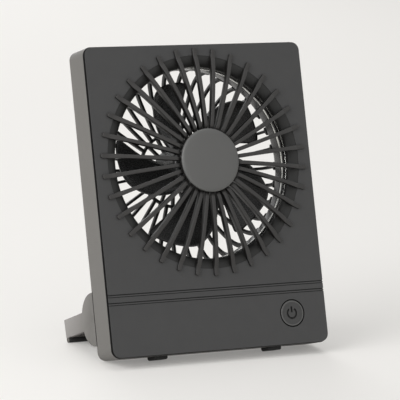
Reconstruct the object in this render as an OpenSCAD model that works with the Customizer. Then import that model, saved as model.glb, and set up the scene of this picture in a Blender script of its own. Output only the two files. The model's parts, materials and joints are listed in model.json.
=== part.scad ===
// Portable camping fan: a flat tabletop case with a domed front grille, a
// five-blade impeller, a caged back and a fold-out stand that leans it back.
// Case frame: x to the right seen from the front, y to the rear from the
// front face, z up from the underside. placed() leans that frame back until
// the feet and the stand's pads meet the table at z = 0.

/* [Case] */
// Width of the case across the front
case_w = 140; // [136:1:156]
// Height of the case
case_h = 177; // [174:1:190]
// Depth of the case from its front face to its back edge
case_d = 20.5; // [20:0.25:23]
// Radius of the case's corners, seen from the front
corner_r = 5.2; // [3.5:0.1:7]
// Wall thickness of the rear shell
wall = 2; // [1.7:0.1:2.3]
// Chamfer along the back edge of the rear shell
back_chamfer = 0.6; // [0.4:0.1:0.8]
// Thickness of the front cover's panel
cover_t = 2.2; // [2:0.1:2.6]
// Thickness of the front cover's edge
cover_edge = 0.4; // [0.3:0.05:0.6]
// Undercut behind the front cover's edge
undercut = 0.8; // [0.5:0.1:1]
// Open seam between the undercut and the rear shell
seam = 0.7; // [0.5:0.1:0.9]
// How far the front cover's outline lies inside the rear shell's
cover_inset = 0.4; // [0.2:0.1:0.6]
// Clearance between the front cover's lip and the rear shell
lip_gap = 0.2; // [0.1:0.05:0.3]
// Depth of the lip behind the front cover's panel
lip_depth = 3; // [2:0.5:4]
// Height of the middle of the four lines across the front
lines_z = 32.8; // [31:0.5:35]
// Spacing between the two pairs of lines
pair_pitch = 4.6; // [4:0.1:5.2]
// Spacing of the two lines in a pair
line_pitch = 1.25; // [1.1:0.05:1.5]
// Width of the upper line of a pair
line_w = 0.6; // [0.45:0.05:0.7]
// Width of the lower line of a pair
fine_line_w = 0.4; // [0.3:0.05:0.5]
// Depth of each line
line_depth = 0.5; // [0.3:0.1:0.8]

/* [Fan opening] */
// Least width of the front face beside the fan's opening
side_margin = 8.3; // [8:0.1:9]
// Least height of the front face above the fan's opening
top_margin = 6.7; // [6.5:0.1:7.5]
// Least height of the plain panel below the fan's opening
panel_h = 46.9; // [46.5:0.1:48]
// Width of the bell mouth, from the opening in to the duct
mouth_w = 6.2; // [5.6:0.1:6.8]
// Depth of the bell mouth
mouth_d = 3.8; // [3.4:0.1:4.2]
// Depth at which the duct ring ends and the rear shell's collar begins
duct_joint = 10.6; // [9.6:0.2:11.6]
// Wall thickness of the duct ring and of the collar
duct_wall = 1.8; // [1.5:0.1:2]
// Width of the duct ring's flange behind the front cover
flange_w = 2.6; // [2:0.2:3]

/* [Front grille] */
// Number of fins in the front grille
fin_count = 34; // [30:2:36]
// Thickness of a fin
fin_t = 2.2; // [1.8:0.1:2.4]
// Depth of a fin from its front edge to its back edge
fin_depth = 3.2; // [2.8:0.1:3.6]
// How far the fin tips reach out over the front face
fin_reach = 4.4; // [3.4:0.1:4.8]
// Height of the fin tips above the front face
fin_tip_h = 1; // [0.6:0.1:1.3]
// Height of the grille's dome above the front face
dome_h = 6.7; // [5.6:0.1:7.6]
// How far inside the opening the dome has fallen back to the fin tips' height
dome_inset = 0.7; // [0.4:0.1:1.2]
// Radius of the grille's centre cap
cap_r = 18.3; // [17:0.1:19.5]
// Height of the cap's face above the front face
cap_h = 8.6; // [8.4:0.1:9.6]

/* [Rear grille] */
// Thickness of a rear bar
bar_t = 1.6; // [1.3:0.1:1.8]
// Depth of a rear bar
bar_depth = 2.8; // [2.4:0.1:3.2]
// How far the rear grille stands out behind the case
cage_rise = 21; // [20:0.5:23]
// How far inside the front opening's radius the rear grille leaves the case
cage_inset = 2.3; // [2:0.1:2.7]
// Turn of the rear bars against the front fins
cage_turn = 3.1; // [0:0.1:10]
// Radius of the ring that joins the rear bars near the motor
ring_r = 21.5; // [20:0.5:23]

/* [Impeller and motor] */
// Number of blades
blade_count = 5; // [4:1:6]
// Gap between the blade tips and the duct
tip_gap = 6.4; // [5.6:0.2:8]
// Thickness of a blade
blade_t = 1.3; // [1.1:0.1:1.5]
// Fall of a blade from its front edge to its back edge
blade_fall = 12.7; // [11.5:0.1:13]
// Radius of the impeller's hub
hub_r = 16; // [15:0.5:17.5]
// Depth of the hub's front face behind the front face of the case
hub_y = 6.4; // [6.2:0.2:7.4]
// Radius of the motor's can
motor_r = 10.5; // [10:0.25:11.5]
// Length of the motor's can
motor_len = 16; // [15:0.5:17]
// Radius of the motor's shaft
shaft_r = 1.5; // [1.2:0.1:1.7]
// Radial running clearance of the shaft and of the hinge pins
running_gap = 0.05; // [0.02:0.01:0.08]

/* [Power button] */
// Distance of the button's centre from the right side of the case
button_inset = 22.7; // [21:0.5:24]
// Height of the button's centre
button_z = 18.1; // [17.6:0.2:19]
// Radius of the button's cap
button_r = 7.4; // [7:0.1:7.8]
// Gap round the button's cap
button_gap = 0.6; // [0.4:0.1:0.7]
// Travel of the button
button_travel = 0.8; // [0.5:0.1:0.9]

/* [Stand] */
// Height of the stand's hinge above the underside
hinge_z = 24.2; // [23:0.2:25.4]
// Distance of the stand's hinge behind the back edge
hinge_back = 3.5; // [3:0.25:4]
// Radius of the stand's round ends
disc_r = 15.3; // [14.5:0.1:15.9]
// Thickness of the stand's arms
arm_t = 3.2; // [2.8:0.1:3.4]
// Height of the stand's arms
arm_h = 10.7; // [10:0.1:11.4]
// Distance of the arms' middle line above the hinge
arm_rise = 1; // [0.6:0.1:1.4]
// Length of the stand from its hinge to its end
arm_len = 39; // [37:0.5:42]
// Angle of the open stand below the case's square
arm_drop = 5; // [3:0.5:7]
// Thickness of the skin outside the stand's round ends
hinge_skin = 1.1; // [0.9:0.1:1.3]
// Side clearance between the stand's round ends and the skin
side_gap = 0.3; // [0.25:0.05:0.4]
// Thickness of the friction washers
washer_t = 0.5; // [0.4:0.1:0.6]
// Radius of the hinge pins
pin_r = 2; // [1.7:0.1:2.3]
// Radius of the dimple over each hinge pin
dimple_r = 3.2; // [2.6:0.1:4]
// Depth of the dimple
dimple_d = 0.6; // [0.4:0.05:0.7]
// Radius of the rubber pads under the stand's end
pad_r = 1.6; // [1.4:0.1:1.8]
// Half-width of the gap between the stand's two feet
arch_x = 41; // [38:1:46]

/* [Feet] */
// Distance of each foot from the middle
foot_x = 37; // [34:1:40]
// Width of a foot
foot_w = 12; // [10:0.5:14]
// Depth of a foot, front to back
foot_d = 11; // [9:0.5:12]
// Height of a foot below the underside
foot_h = 2.1; // [1.9:0.1:2.5]
// Length of the bevel that each foot rests on
foot_flat = 1.1; // [0.8:0.1:1.4]

/* [Inside] */
// Clearance round the battery cells, to the posts and the duct
cell_gap = 0.9; // [0.7:0.1:1.6]
// Gap between the battery cells and the circuit board
board_gap = 6; // [5:0.5:8]
// Thickness of the foam pads on the battery cells
pad_t = 0.95; // [0.6:0.05:1.2]
// Thickness of the circuit board
board_t = 1.6; // [1.2:0.2:1.6]
// Radius of the case screws' shanks
screw_r = 1.2; // [1:0.1:1.4]

/* [Hidden] */
$fn = 64;
EPS = 0.02;                 // overlap that makes cuts run clean through

shell_color = [0.47, 0.46, 0.44];
cover_color = [0.30, 0.30, 0.30];
fin_color = [0.28, 0.27, 0.26];
black = [0.09, 0.09, 0.09];
steel = [0.72, 0.72, 0.70];

opening_r = min(case_w / 2 - side_margin, (case_h - top_margin - panel_h) / 2);
fan_z = case_h - top_margin - opening_r;
duct_r = opening_r - mouth_w;
fin_tip_r = opening_r + fin_reach;
dome_r = opening_r - dome_inset;
cage_r = opening_r - cage_inset;
blade_tip_r = duct_r - tip_gap;
button_x = case_w / 2 - button_inset;
back_y = case_d - wall;                 // front of the rear shell's back wall
shell_y = cover_edge + undercut + seam; // front rim of the rear shell
lip_w = case_w - 2 * (wall + lip_gap);  // size of the front cover's lip
lip_h = case_h - 2 * (wall + lip_gap);
lip_r = corner_r - wall;
collar_r = duct_r + 0.5;                // inside of the rear shell's collar
bar_step = 360 / fin_count;

hinge_y = case_d + hinge_back;
disc_x = case_w / 2 - hinge_skin - side_gap;      // outer side of a round end
washer_x = disc_x - arm_t - side_gap / 6;         // outer side of a washer
lug_x = washer_x - washer_t - side_gap / 6;       // outer side of a hinge lug
lug_t = 2.5;
lug_r = 6.5;
pocket_r = disc_r + side_gap + 0.2;     // pocket that a round end turns in
pocket_wall = 1.4;
pin_cover = 1.2;                                  // wall left over the pin's end

pad_u = arm_len - pad_r;                          // pad centre along the arm
pad_v = arm_rise - arm_h / 2 - 0.75 * pad_r;      // and square to it

// Point (along, square) on the stand in the case frame, as [y, z].
function on_stand(u, v) = [hinge_y + u * cos(arm_drop) + v * sin(arm_drop),
                           hinge_z - u * sin(arm_drop) + v * cos(arm_drop)];
pad_c = on_stand(pad_u, pad_v);
foot_edge = [case_d / 2 + foot_d / 2 - foot_flat, -foot_h];   // front of the foot's bevel
reach = pad_c - foot_edge;
tilt = atan2(reach[1], reach[0]) - asin(pad_r / norm(reach));
lift = foot_edge[0] * sin(tilt) - foot_edge[1] * cos(tilt);

cage_steps = 12;

// Half the front-to-back size of the leaning fan, so that y = 0 is its middle.
front_reach = cover_inset * sin(tilt);
cage_reach = max([for (p = cage_profile(cage_r, cage_rise))
                  p[1] * cos(tilt) + (fan_z + p[0]) * sin(tilt)]);
middle_y = (front_reach + cage_reach) / 2;

module placed() {
  translate([0, -middle_y, lift]) rotate([-tilt, 0, 0]) children();
}

// Extrudes a front-view outline from depth y0 to depth y1.
module slab(y0, y1) {
  translate([0, y1, 0]) rotate([90, 0, 0]) linear_extrude(y1 - y0) children();
}

// Revolves a (radius, depth) outline about the fan's axis.
module about_fan() {
  translate([0, 0, fan_z]) rotate([-90, 0, 0]) rotate_extrude($fn = 120) children();
}

// A rod along y from depth y0 to depth y1 at (x, z).
module rod(x, z, r, y0, y1) {
  translate([x, y0, z]) rotate([-90, 0, 0]) cylinder(r = r, h = y1 - y0);
}

// Front-view rectangle with round corners, inset by i from the case outline.
module case_outline(i, r) {
  w = case_w - 2 * i;
  h = case_h - 2 * i;
  translate([-w / 2 + r, i]) square([w - 2 * r, h]);
  translate([-w / 2, i + r]) square([w, h - 2 * r]);
  for (x = [-w / 2 + r, w / 2 - r], z = [i + r, i + h - r]) translate([x, z]) circle(r);
}

// Slab of the case outline, inset by i, that narrows by c over its last depth c.
module chamfered_slab(y0, y1, c, i) {
  r = corner_r - i;
  half = case_w / 2 - i;
  slab(y0, y1 - c) case_outline(i, r);
  // corners
  for (x = [-half + r, half - r], z = [corner_r, case_h - corner_r])
    translate([x, y1 - c, z]) rotate([-90, 0, 0]) cylinder(r1 = r, r2 = r - c, h = c);
  // bands between the corners, upright and level
  translate([0, 0, corner_r]) linear_extrude(case_h - 2 * corner_r)
    polygon([[-half, y1 - c], [half, y1 - c], [half - c, y1], [-half + c, y1]]);
  translate([half - r, 0, 0]) rotate([0, -90, 0]) linear_extrude(2 * (half - r))
    polygon([[i, y1 - c], [case_h - i, y1 - c], [case_h - i - c, y1], [i + c, y1]]);
}

/* ---- case ---- */

screw_x = case_w / 2 - 9.5;
screw_top = case_h - 9.5;
screw_low = [case_w / 2 - 9.5, 5.6];
screw_places = [[-screw_x, screw_top], [screw_x, screw_top],
                [-screw_low[0], screw_low[1]], [screw_low[0], screw_low[1]]];
screw_head_r = 2.4;
screw_head_t = 1.6;
screw_sink = 2.4;           // depth of the head's seat below the back face
boss_r = 3.2;
boss_end = 12;              // depth at which cover boss and shell post meet
screw_bite = 6;             // how far a case screw reaches into the cover's boss
pair_at = [lines_z - pair_pitch / 2, lines_z + pair_pitch / 2];

// Line across the front at height z, of width w.
module cut_line(z, w) {
  translate([-case_w, -EPS, z - w / 2]) cube([2 * case_w, line_depth + EPS, w]);
}

module front_cover() {
  color(cover_color) difference() {
    union() {
      chamfered_slab(0, cover_edge + undercut, undercut, cover_inset);
      slab(cover_edge - EPS, cover_t) case_outline(wall + lip_gap, lip_r - lip_gap);
      // lip inside the rear shell
      slab(cover_t - EPS, cover_t + lip_depth) difference() {
        case_outline(wall + lip_gap, lip_r - lip_gap);
        case_outline(wall + lip_gap + 1.4, lip_r - lip_gap - 1.4);
      }
      for (p = screw_places) rod(p[0], p[1], boss_r, cover_t - EPS, boss_end);
    }
    rod(0, fan_z, opening_r, -EPS, cover_t + EPS);
    for (z = pair_at) {
      cut_line(z + line_pitch / 2, line_w);
      cut_line(z - line_pitch / 2, fine_line_w);
    }
    rod(button_x, button_z, button_r + button_gap, -EPS, cover_t + EPS);
    for (p = screw_places) rod(p[0], p[1], screw_r + running_gap, boss_end - 7, boss_end + EPS);
    hinge_pockets();
  }
}

// Disc about the hinge's axis, from x0 to x1 on side s of the case.
module hinge_disc(s, r, x0, x1) {
  translate([s * x0, hinge_y, hinge_z]) rotate([0, s * 90, 0]) cylinder(r = r, h = x1 - x0);
}

// Pockets that the stand's round ends turn in.
module hinge_pockets() {
  for (s = [-1, 1]) hinge_disc(s, pocket_r, lug_x, disc_x + side_gap);
}

grille_lug_r = cage_r + 4.1;            // circle of the rear grille's screws
grille_lugs = [45, 135, 225, 315];
grille_post = 5;            // length of the posts that take those screws
grille_floor = 1.5;         // from a post's front to the screw's tip

module rear_shell() {
  color(shell_color) difference() {
    union() {
      difference() {
        chamfered_slab(shell_y, case_d, back_chamfer, 0);
        slab(0, back_y) case_outline(wall, lip_r);
      }
      // collar round the fan
      rod(0, fan_z, collar_r + duct_wall, duct_joint, back_y + EPS);
      for (p = screw_places) rod(p[0], p[1], boss_r + 0.4, boss_end, back_y + EPS);
      for (a = grille_lugs)
        rod(grille_lug_r * cos(a), fan_z + grille_lug_r * sin(a), boss_r, back_y - grille_post,
            back_y + EPS);
      for (p = board_posts) rod(p[0], p[1], boss_r - 0.4, board_y + board_t, back_y + EPS);
      battery_ribs();
      for (s = [-1, 1]) hinge_lug(s);
    }
    rod(0, fan_z, collar_r, duct_joint - EPS, case_d + EPS);
    for (p = screw_places) {
      rod(p[0], p[1], screw_r + 0.2, boss_end - EPS, case_d);
      rod(p[0], p[1], screw_head_r + 0.4, case_d - screw_sink, case_d + EPS);
    }
    for (a = grille_lugs)
      rod(grille_lug_r * cos(a), fan_z + grille_lug_r * sin(a), screw_r - 0.2 + running_gap,
          back_y - grille_post + 1, case_d + EPS);
    for (p = board_posts) rod(p[0], p[1], board_screw_r + running_gap, board_y + board_t - EPS, back_y);
    hinge_pockets();
    for (s = [-1, 1]) hinge_disc(s, pin_r, lug_x - lug_t - EPS, lug_x + EPS);
    usb_mouth();
  }
}

// Wall of a hinge pocket on side s of the case, and the lug that carries its pin.
module hinge_lug(s) {
  intersection() {
    hinge_disc(s, pocket_r + pocket_wall, lug_x - lug_t, disc_x + side_gap + EPS);
    slab(shell_y, back_y + EPS) case_outline(hinge_skin / 2, corner_r - hinge_skin / 2);
  }
  translate([s > 0 ? lug_x - lug_t : -lug_x, 0, 0]) rotate([90, 0, 90]) linear_extrude(lug_t) {
    translate([hinge_y, hinge_z]) circle(lug_r);
    translate([back_y, hinge_z - lug_r]) square([hinge_y - back_y, 2 * lug_r]);
  }
}

/* ---- duct and grilles ---- */

module duct_ring() {
  bead = 0.7;
  color(black) about_fan() difference() {
    polygon([[opening_r - 0.1, 0.3], [duct_r, mouth_d], [duct_r, duct_joint - 3.2],
             [duct_r + bead, duct_joint - 2.8], [duct_r + bead, duct_joint - 2.2],
             [duct_r + 0.2, duct_joint - 1.8], [duct_r + 0.2, duct_joint],
             [duct_r + 0.5 + duct_wall, duct_joint], [duct_r + 0.5 + duct_wall, cover_t + 2],
             [opening_r + flange_w, cover_t + 2], [opening_r + flange_w, cover_t],
             [opening_r - 0.1, cover_t]]);
  }
}

function dome(r) = r >= dome_r ? 0 : (dome_h - fin_tip_h) * pow(1 - pow(r / dome_r, 3), 0.75);
fin_steps = 9;
fin_root = cap_r - 2;
fin_radii = [for (i = [0:fin_steps]) dome_r - (dome_r - fin_root) * pow(1 - i / fin_steps, 1.7)];
fin_land = dome_r - 3;      // radius where a fin's back edge starts to rise to the face
fin_front = [for (r = fin_radii) [r, -fin_tip_h - dome(r)]];
fin_back = [for (i = [fin_steps:-1:0]) if (fin_radii[i] < fin_land)
            [fin_radii[i], fin_depth - fin_tip_h - dome(fin_radii[i])]];

module front_grille() {
  color(fin_color) {
    for (k = [0:fin_count - 1]) translate([0, 0, fan_z]) rotate([0, -90 - k * bar_step, 0])
      linear_extrude(fin_t, center = true)
        polygon(concat(fin_front, [[fin_tip_r, -fin_tip_h], [fin_tip_r, 0], [opening_r + 0.1, 0]],
                       fin_back));
    // centre disc that carries the cap
    about_fan() polygon([[cap_peg_r + 0.05, fin_depth - dome_h], [cap_r, fin_depth - dome_h],
                         [cap_r, -dome_h], [cap_peg_r + 0.05, -dome_h]]);
  }
}

cap_peg_r = 5;

module grille_cap() {
  rim = 0.8;
  color(cover_color) about_fan() polygon([[0, -cap_h], [cap_r - rim, -cap_h], [cap_r, -cap_h + rim],
    [cap_r, -dome_h], [cap_peg_r, -dome_h], [cap_peg_r, fin_depth - dome_h - 0.6],
    [0, fin_depth - dome_h - 0.6]]);
}

// Back line of the cage, from its rim to its middle, as [radius, depth].
function cage_profile(r, rise) = [for (i = [0:cage_steps])
  let (q = r * cos(90 * i / cage_steps))
  [q, case_d + rise * pow(1 - pow(q / r, 4), 1 / 4)]];
cage_in_r = cage_r - bar_depth;
cage_in_rise = cage_rise - bar_depth;
cup_r = motor_r + 2;
cup_y = case_d + cage_in_rise - 11;
ring_w = 1.6;
base_w = 2;                 // width of the base ring beyond the bars
base_t = 2.2;
lug_head_r = 3.6;
grille_head_r = 2.2;        // head of the rear grille's screws
grille_head_t = 1.4;

module rear_grille() {
  outer = [for (p = cage_profile(cage_r, cage_rise)) if (p[0] > 1) p];
  inner = [for (p = cage_profile(cage_in_r, cage_in_rise)) if (p[0] > 1) p];
  color(shell_color * 0.6) difference() {
    union() {
      for (k = [0:fin_count - 1]) translate([0, 0, fan_z]) rotate([0, -90 - cage_turn - k * bar_step, 0])
        linear_extrude(bar_t, center = true) intersection() {
          polygon(concat(outer, [[0.5, case_d + cage_rise], [0.5, case_d + cage_in_rise]],
                         [for (i = [len(inner) - 1:-1:0]) inner[i]]));
          inside = k % 2 == 0 ? motor_r + 1 : ring_r;
          translate([inside, 0]) square([cage_r, 2 * (case_d + cage_rise)]);
        }
      about_fan() {
        // base ring on the back of the case
        polygon([[cage_in_r, case_d], [cage_r + base_w, case_d], [cage_r + base_w, case_d + base_t - 0.6],
                 [cage_r + base_w - 0.6, case_d + base_t], [cage_in_r + 0.05, case_d + base_t]]);
        // ring near the motor
        translate([ring_r - ring_w / 2, case_d + cage_in_rise]) square([ring_w, bar_depth - 0.4]);
        // cup that holds the motor
        polygon([[motor_r + 0.05, cup_y], [cup_r, cup_y], [cup_r, case_d + cage_rise - 0.6],
                 [cup_r - 0.6, case_d + cage_rise], [0, case_d + cage_rise],
                 [0, case_d + cage_in_rise], [motor_r + 0.05, case_d + cage_in_rise]]);
      }
      for (a = grille_lugs)
        rod(grille_lug_r * cos(a), fan_z + grille_lug_r * sin(a), lug_head_r, case_d, case_d + base_t);
    }
    for (a = grille_lugs)
      rod(grille_lug_r * cos(a), fan_z + grille_lug_r * sin(a), screw_r, case_d - 1, case_d + base_t + 1);
    for (s = [-1, 1])
      rod(s * motor_screw_x, fan_z, motor_screw_r + 0.15, case_d + cage_in_rise - 1, case_d + cage_rise + 1);
  }
}

/* ---- screws and feet ---- */

// Pan-head screw along y: its head's seat at depth y, its tip at depth tip.
module screw(x, z, r, head_r, head_t, y, tip) {
  color(steel) translate([x, y, z]) rotate([90, 0, 0]) {
    cylinder(r = r, h = y - tip);
    translate([0, 0, -head_t]) cylinder(r1 = head_r * 0.8, r2 = head_r, h = head_t);
  }
}

module case_screws() {
  for (p = screw_places)
    screw(p[0], p[1], screw_r, screw_head_r, screw_head_t, case_d - screw_sink, boss_end - screw_bite);
}

module grille_screws() {
  for (a = grille_lugs)
    screw(grille_lug_r * cos(a), fan_z + grille_lug_r * sin(a), screw_r - 0.2, grille_head_r,
          grille_head_t, case_d + base_t, back_y - grille_post + grille_floor);
}

module foot(s) {
  color(black) translate([s * foot_x - foot_w / 2, 0, 0]) rotate([90, 0, 90])
    linear_extrude(foot_w)
      polygon([[case_d / 2 - foot_d / 2, 0], [case_d / 2 - foot_d / 2, -foot_h], foot_edge,
               foot_edge + foot_flat * [1, tan(tilt)], [foot_edge[0] + foot_flat, 0]]);
}

module foot_left() { foot(-1); }

module foot_right() { foot(1); }

/* ---- motor ---- */

can_back = case_d + cage_in_rise;       // the can sits on the cup's floor
can_front = can_back - motor_len;
can_wall = 0.8;
bush_r = 3;
magnet_t = 1.6;
air_gap = 0.5;              // between the armature and the magnets
core_gap = 3.5;             // between the armature and the can's front
slot_r = 5.2;               // bottom of the armature's slots
slot_w = 1.2;
motor_screw_x = 6.5;
motor_screw_r = 1;

module motor_can() {
  color(steel) difference() {
    rod(0, fan_z, motor_r, can_front, can_back - 2);
    rod(0, fan_z, motor_r - can_wall, can_front + can_wall, can_back);
    rod(0, fan_z, bush_r, can_front - EPS, can_front + 2);
  }
}

module motor_end_cap() {
  color([0.85, 0.84, 0.8]) difference() {
    rod(0, fan_z, motor_r, can_back - 2, can_back);
    rod(0, fan_z, bush_r, can_back - 2 - EPS, can_back + EPS);
    for (s = [-1, 1]) rod(s * motor_screw_x, fan_z, motor_screw_r + running_gap, can_back - 2 - EPS,
                          can_back + EPS);
  }
}

module motor_magnets() {
  color([0.2, 0.2, 0.22]) difference() {
    rod(0, fan_z, motor_r - can_wall, can_front + 2.5, can_back - 4);
    rod(0, fan_z, motor_r - can_wall - magnet_t, can_front, can_back);
    translate([-2, 0, fan_z - motor_r]) cube([4, 3 * motor_len, 2 * motor_r]);
  }
}

module motor_bushes() {
  color([0.72, 0.55, 0.3]) for (y = [can_front, can_back - 2]) difference() {
    rod(0, fan_z, bush_r, y, y + (y > can_front ? 2 : can_wall + 1));
    rod(0, fan_z, shaft_r + running_gap, y - EPS, y + 2 + EPS);
  }
}

module motor_screws() {
  for (s = [-1, 1])
    screw(s * motor_screw_x, fan_z, motor_screw_r, 1.9, 1.2, case_d + cage_rise, can_back - 1.8);
}

module motor_shaft() {
  color(steel) rod(0, fan_z, shaft_r, hub_y + 2.5, can_back - 0.3);
}

module motor_armature() {
  color([0.6, 0.33, 0.18]) difference() {
    rod(0, fan_z, motor_r - can_wall - magnet_t - air_gap, can_front + core_gap, can_back - core_gap - 1);
    rod(0, fan_z, shaft_r, can_front, can_back);
    for (a = [0, 120, 240]) translate([0, 0, fan_z]) rotate([0, a, 0])
      translate([slot_r, can_front, -slot_w / 2]) cube([motor_r, motor_len, slot_w]);
  }
}

/* ---- impeller ---- */

blade_root = hub_r - 1.2;
blade_rows = 8;
blade_cols = 6;
hub_end = can_front - 1.3;  // the hub stops short of the motor
// Share of the way from the hub to the blade tips at radius r.
function blade_share(r) = (r - hub_r) / (blade_tip_r - hub_r);
function blade_mid(r) = 24 - 30 * blade_share(r);       // sweep, degrees
function blade_half(r) = 28 - 8.5 * blade_share(r) - 3.5 * pow(max(0, blade_share(r)), 6);  // degrees
function blade_edge(t) = blade_tip_r - 1.5 * pow(abs(t), 8);
// Point on the blade's mid surface: q runs from root to tip, t from back edge to front edge.
function blade_point(q, t, side) =
  let (r = blade_root + (blade_edge(t) - blade_root) * q,
       u = (1 - t) / 2,
       a = 90 + blade_mid(r) + t * blade_half(r),
       thin = 1 - 0.55 * pow(abs(t), 3) - 0.25 * q,
       y = hub_y + 0.4 + blade_fall * (u + 0.35 * u * (1 - u)) + side * blade_t / 2 * thin)
  [r * cos(a), y, r * sin(a)];

module blade() {
  cols = blade_cols + 1;
  rows = blade_rows + 1;
  n = rows * cols;
  points = [for (side = [-1, 1], i = [0:blade_rows], j = [0:blade_cols])
            blade_point(i / blade_rows, 2 * j / blade_cols - 1, side)];
  function at(side, i, j) = side * n + i * cols + j;
  front = [for (i = [0:blade_rows - 1], j = [0:blade_cols - 1], h = [0, 1])
           h == 0 ? [at(0, i, j), at(0, i, j + 1), at(0, i + 1, j + 1)]
                  : [at(0, i, j), at(0, i + 1, j + 1), at(0, i + 1, j)]];
  back = [for (i = [0:blade_rows - 1], j = [0:blade_cols - 1], h = [0, 1])
          h == 0 ? [at(1, i, j), at(1, i + 1, j + 1), at(1, i, j + 1)]
                 : [at(1, i, j), at(1, i + 1, j), at(1, i + 1, j + 1)]];
  // rim of the blade as one closed loop of points, front and back
  rim = concat([for (j = [0:blade_cols - 1]) [0, j]], [for (i = [0:blade_rows - 1]) [i, blade_cols]],
               [for (j = [blade_cols:-1:1]) [blade_rows, j]], [for (i = [blade_rows:-1:1]) [i, 0]]);
  edge = [for (k = [0:len(rim) - 1], h = [0, 1])
          let (a = rim[k], b = rim[(k + 1) % len(rim)])
          h == 0 ? [at(0, a[0], a[1]), at(1, a[0], a[1]), at(1, b[0], b[1])]
                 : [at(0, a[0], a[1]), at(1, b[0], b[1]), at(0, b[0], b[1])]];
  polyhedron(points, concat(front, back, edge), convexity = 4);
}

module impeller() {
  skin = 1.4;
  color([0.11, 0.11, 0.12]) union() {
    for (k = [0:blade_count - 1]) translate([0, 0, fan_z])
      rotate([0, -(18 + k * 360 / blade_count), 0]) blade();
    // hub: a shallow cup with a boss for the shaft
    about_fan() polygon([[0, hub_y], [hub_r - 2.5, hub_y], [hub_r - 0.7, hub_y + 0.7],
                         [hub_r, hub_y + 2.5], [hub_r, hub_end],
                         [hub_r - skin, hub_end], [hub_r - skin, hub_y + 2.5],
                         [shaft_r + 2.2, hub_y + 2.5], [shaft_r + 2.2, hub_end - 1],
                         [shaft_r, hub_end - 1], [shaft_r, hub_y + 2.5], [0, hub_y + 2.5]]);
  }
}

/* ---- power button ---- */

board_y = 9;                // front of the circuit board
switch_t = 3.5;
switch_w = 6;
plunger_r = 1.6;
plunger_y = board_y - switch_t - 1.2;   // front of the switch's plunger
button_lip = cover_t + 0.15;

module power_button() {
  color(cover_color) {
    rod(button_x, button_z, button_r, 0, button_lip + EPS);
    rod(button_x, button_z, button_r + button_gap + 0.8, button_lip, button_lip + 1);
    rod(button_x, button_z, plunger_r + 0.4, button_lip + 1 - EPS, plunger_y);
  }
}

module switch_plunger() {
  color(black) rod(button_x, button_z, plunger_r, plunger_y, board_y - switch_t + 1.4);
}

module switch_body() {
  color([0.25, 0.25, 0.26]) difference() {
    translate([button_x - switch_w / 2, board_y - switch_t, button_z - switch_w / 2])
      cube([switch_w, switch_t, switch_w]);
    rod(button_x, button_z, plunger_r + running_gap, board_y - switch_t - EPS, board_y - 0.6);
  }
}

/* ---- circuit board, battery and port ---- */

board_beside = 13.3;        // from the button's centre to the board's inner edge
board_above = 19.8;         // from the stand's disc to the board's top
post_in = 3.2;              // from the board's edges to a screw post
post_drop = 12;             // from the board's top to its upper post
outer_post_in = 3;
outer_post_drop = 20;       // and to its outer one
board_x0 = button_x - board_beside;
board_z0 = 11.5;
board_z1 = hinge_z + disc_r + board_above;
board_x1 = lug_x - lug_t - 1.5;
port_z = board_z1 - 8;
port_x1 = case_w / 2 - 1;   // mouth of the port, just inside the side's surface
port_len = 7.4;
port_w = 9;
port_t = 3.2;
tab_x = port_x1 - 2.6;
board_screw_r = 0.9;
board_posts = [[board_x0 + post_in, board_z0 + post_in],
               [board_x0 + post_in, board_z1 - post_drop],
               [board_x1 - outer_post_in, board_z1 - outer_post_drop]];

module circuit_board() {
  color([0.07, 0.32, 0.18]) difference() {
    slab(board_y, board_y + board_t) {
      translate([board_x0, board_z0]) square([board_x1 - board_x0, board_z1 - board_z0]);
      translate([board_x0 + 5, port_z - 7]) square([tab_x - board_x0 - 5, 14]);
    }
    for (p = board_posts)
      rod(p[0], p[1], board_screw_r + 0.15, board_y - EPS, board_y + board_t + EPS);
  }
}

module board_screws() {
  for (p = board_posts) color(steel) {
    rod(p[0], p[1], board_screw_r, board_y - EPS, board_y + board_t + 5);
    rod(p[0], p[1], board_screw_r + 0.9, board_y - 1.2, board_y);
  }
}

module port_outline(w, t) {
  translate([port_z, board_y - port_t / 2]) {
    square([w - t, t], center = true);
    for (s = [-1, 1]) translate([s * (w - t) / 2, 0]) circle(t / 2);
  }
}

// Extrudes a (z, y) outline along x from x0 to x1.
module along_x(x0, x1) {
  translate([x1, 0, 0]) rotate([0, -90, 0]) linear_extrude(x1 - x0) children();
}

module usb_shell() {
  color(steel) along_x(port_x1 - port_len, port_x1) difference() {
    port_outline(port_w, port_t);
    port_outline(port_w - 0.7, port_t - 0.7);
  }
}

module usb_tongue() {
  color(black) {
    along_x(port_x1 - port_len, port_x1 - port_len + 1.5) port_outline(port_w - 0.7, port_t - 0.7);
    translate([port_x1 - port_len + 1, board_y - port_t / 2 - 0.35, port_z - 3.2])
      cube([port_len - 1.6, 0.7, 6.4]);
  }
}

// Mouth in the case's side for the port.
module usb_mouth() {
  along_x(case_w / 2 - wall - 1, case_w / 2 + 1) port_outline(port_w + 0.5, port_t + 0.5);
}

cell_x0 = -screw_low[0] + boss_r + 0.4 + cell_gap;
cell_w = board_x0 - board_gap - cell_x0;
cell_z0 = 5.5;
cell_h = panel_h - flange_w - 3 * cell_gap - cell_z0;
cell_t = (back_y - cover_t - 2 * pad_t) / 2;
rib_t = 1.2;

// One battery cell with its back face at depth y.
module cell(y) {
  color([0.62, 0.64, 0.67]) slab(y - cell_t, y) {
    translate([cell_x0 + 1, cell_z0]) square([cell_w - 2, cell_h]);
    translate([cell_x0, cell_z0 + 1]) square([cell_w, cell_h - 2]);
  }
}

module battery_rear() { cell(back_y); }

module battery_front() { cell(back_y - cell_t - pad_t); }

pad_side = 6;               // foam ends this far from the cell's sides
pad_end = 5;                // and from its ends
rib_reach = 6;              // height of the ribs round the cells

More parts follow.
